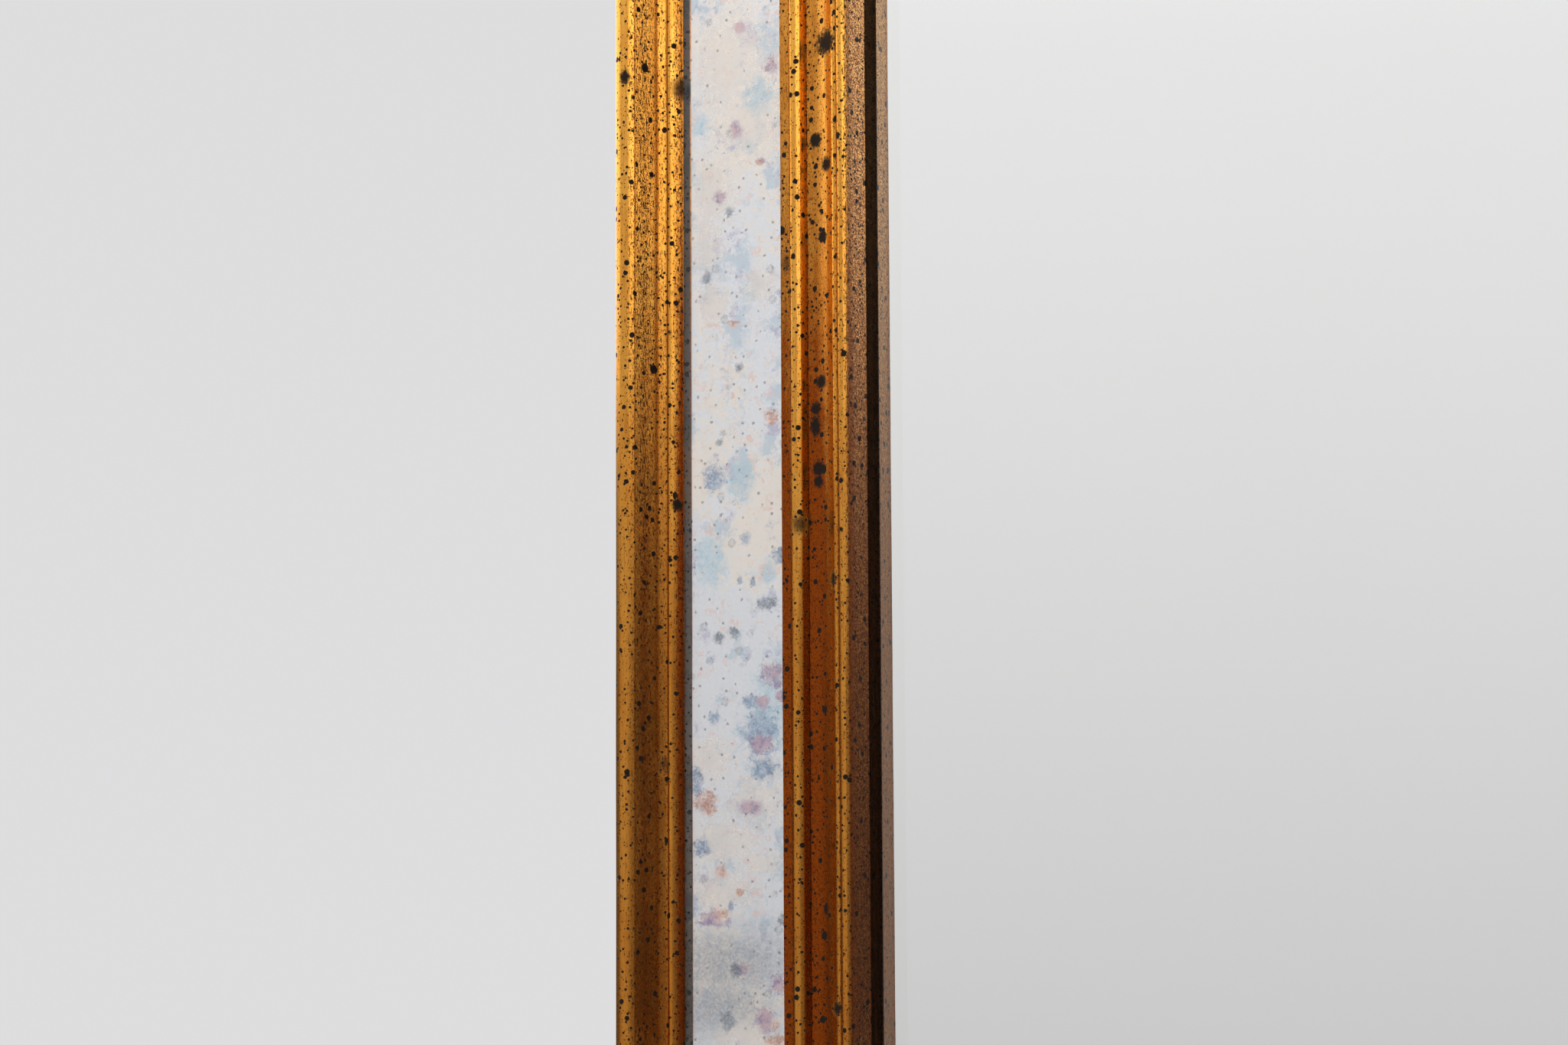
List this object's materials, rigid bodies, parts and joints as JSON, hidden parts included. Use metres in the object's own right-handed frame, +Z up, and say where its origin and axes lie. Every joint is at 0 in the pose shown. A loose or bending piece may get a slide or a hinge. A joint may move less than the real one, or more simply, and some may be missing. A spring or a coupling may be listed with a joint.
{
  "type": "pier mirror",
  "caption": "Tall rectangular wall mirror with a gilded two-moulding border round a strip of antiqued glass, hung from two pivoting rings.",
  "frame": {"origin": "on the wall plane, half way between the pivots of the two hanging rings", "axes": "+Z up, -Y out of the mirror towards the viewer, +Y into the wall, +X to the right as seen from the front"},
  "size_m": [0.711, 0.0446, 1.524],
  "materials": {
    "aged_gold": "gilded wood, toned with umber, fly-specked and rubbed",
    "antiqued_glass": "foxed silvering behind clear glass",
    "looking_glass": "clear silvered plate",
    "core_wood": "planed softwood",
    "spline_wood": "birch plywood",
    "hardboard": "brown hardboard",
    "zinc_steel": "zinc plated",
    "rubber": "matt black"
  },
  "bodies": {
    "mirror": {"core_stile_left": "core_wood", "corner_spline_top_left": "spline_wood", "outer_moulding_left": "aged_gold", "antiqued_strip_left": "antiqued_glass", "inner_moulding_left": "aged_gold", "glass_block_left_1": "rubber", "glass_block_left_2": "rubber", "board_screw_left_1": "zinc_steel", "board_screw_left_2": "zinc_steel", "board_screw_left_3": "zinc_steel", "board_screw_left_4": "zinc_steel", "board_screw_left_5": "zinc_steel", "core_rail_bottom": "core_wood", "corner_spline_bottom_left": "spline_wood", "outer_moulding_bottom": "aged_gold", "antiqued_strip_bottom": "antiqued_glass", "inner_moulding_bottom": "aged_gold", "glass_block_bottom_1": "rubber", "glass_block_bottom_2": "rubber", "board_screw_bottom_1": "zinc_steel", "board_screw_bottom_2": "zinc_steel", "core_stile_right": "core_wood", "corner_spline_bottom_right": "spline_wood", "outer_moulding_right": "aged_gold", "antiqued_strip_right": "antiqued_glass", "inner_moulding_right": "aged_gold", "glass_block_right_1": "rubber", "glass_block_right_2": "rubber", "board_screw_right_1": "zinc_steel", "board_screw_right_2": "zinc_steel", "board_screw_right_3": "zinc_steel", "board_screw_right_4": "zinc_steel", "board_screw_right_5": "zinc_steel", "core_rail_top": "core_wood", "corner_spline_top_right": "spline_wood", "outer_moulding_top": "aged_gold", "antiqued_strip_top": "antiqued_glass", "inner_moulding_top": "aged_gold", "glass_block_top_1": "rubber", "glass_block_top_2": "rubber", "board_screw_top_1": "zinc_steel", "board_screw_top_2": "zinc_steel", "mirror_plate": "looking_glass", "backing_board": "hardboard", "hanger_strap_left": "zinc_steel", "hanger_screw_left_1": "zinc_steel", "hanger_screw_left_2": "zinc_steel", "wall_bumper_left": "rubber", "hanger_strap_right": "zinc_steel", "hanger_screw_right_1": "zinc_steel", "hanger_screw_right_2": "zinc_steel", "wall_bumper_right": "rubber"},
    "ring_left": {"hanger_ring_left": "zinc_steel"},
    "ring_right": {"hanger_ring_right": "zinc_steel"}
  },
  "joints": [
    {"name": "ring_left_swing", "type": "hinge", "parent": "mirror", "child": "ring_left", "pos_m": [-0.32235, -0.0035, 0], "axis": [1, 0, 0], "range_deg": [0, 180]},
    {"name": "ring_right_swing", "type": "hinge", "parent": "mirror", "child": "ring_right", "pos_m": [0.32235, -0.0035, 0], "axis": [1, 0, 0], "range_deg": [0, 180]}
  ]
}
